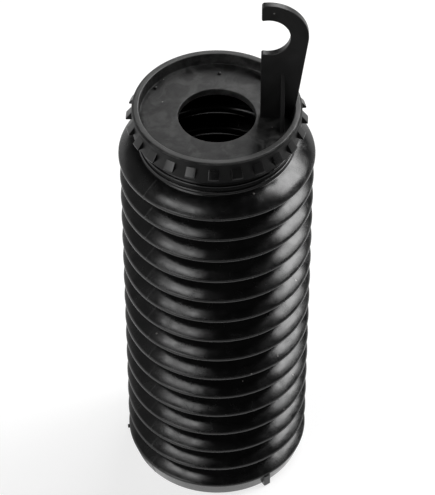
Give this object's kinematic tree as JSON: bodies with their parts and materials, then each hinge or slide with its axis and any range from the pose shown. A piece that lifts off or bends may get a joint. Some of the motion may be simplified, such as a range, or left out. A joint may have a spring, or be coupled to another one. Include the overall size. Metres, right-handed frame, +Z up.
{
  "type": "rubber bellows boot",
  "caption": "Folded rubber dust boot with a short tapered cuff, a beaded neck and a dished head that has a rod hole, catch lugs and a standing hook.",
  "frame": {"origin": "middle of the cuff's bottom edge, on the axis of the boot", "axes": "+Z up along the axis from the cuff to the head, +X towards the standing hook"},
  "size_m": [0.0668, 0.0666, 0.2083],
  "materials": {
    "rubber": "satin black moulded rubber"
  },
  "bodies": {
    "root": {"bellows_boot": "rubber"}
  },
  "joints": []
}
